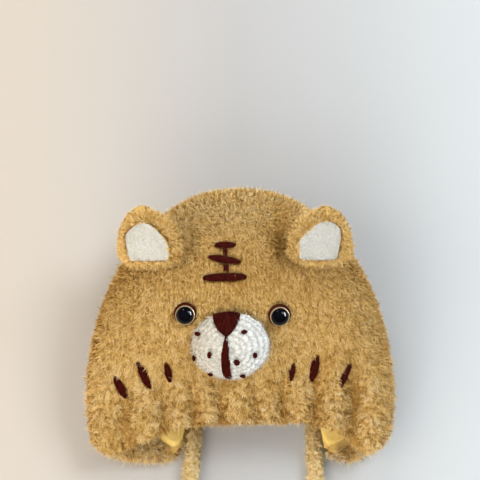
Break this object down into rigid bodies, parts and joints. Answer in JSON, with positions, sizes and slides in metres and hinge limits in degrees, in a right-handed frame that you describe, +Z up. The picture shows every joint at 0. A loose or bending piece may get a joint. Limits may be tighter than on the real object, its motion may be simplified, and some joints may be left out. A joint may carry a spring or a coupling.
{
  "type": "tiger hat",
  "caption": "Toddler's furry knit tiger hat lying on its back, with cupped ears, a crocheted muzzle, domed eyes, stitched stripes and tie cords.",
  "frame": {"origin": "bottom centre of the hat's box without its ties, on the surface it lies on", "axes": "+Z up from the surface, out of the hat's face; +Y from the hat's mouth to its crown; +X to the viewer's right"},
  "size_m": [0.2402, 0.3792, 0.1063],
  "materials": {
    "fur": "deep caramel yellow pile over rib knit, matte",
    "lining": "smooth yellow lining cloth",
    "plush": "off-white short plush",
    "crochet": "white crochet in thick soft yarn",
    "thread": "dark burgundy satin stitch",
    "felt": "dark red-brown felt",
    "rim": "pale gold, satin",
    "eye": "black, high gloss"
  },
  "bodies": {
    "root": {"cap": "fur", "lining": "lining", "ear_left": "fur", "ear_right": "fur", "ear_patch_left": "plush", "ear_patch_right": "plush", "muzzle": "crochet", "nose": "thread", "mouth": "thread", "muzzle_spot_1": "thread", "muzzle_spot_2": "thread", "muzzle_spot_3": "thread", "muzzle_spot_4": "thread", "muzzle_spot_5": "thread", "muzzle_spot_6": "thread", "muzzle_spot_7": "thread", "muzzle_spot_8": "thread", "forehead_bar_low": "thread", "forehead_stem_low": "thread", "forehead_bar_middle": "thread", "forehead_stem_high": "thread", "forehead_bar_high": "thread", "cheek_stripe_left_outer": "thread", "cheek_stripe_left_middle": "thread", "cheek_stripe_left_inner": "thread", "cheek_stripe_right_inner": "thread", "cheek_stripe_right_middle": "thread", "cheek_stripe_right_outer": "thread", "eye_disc_left": "felt", "eye_disc_right": "felt", "eye_rim_left": "rim", "eye_rim_right": "rim", "eye_left": "eye", "eye_right": "eye", "tie_left": "fur", "tie_right": "fur"}
  },
  "joints": []
}
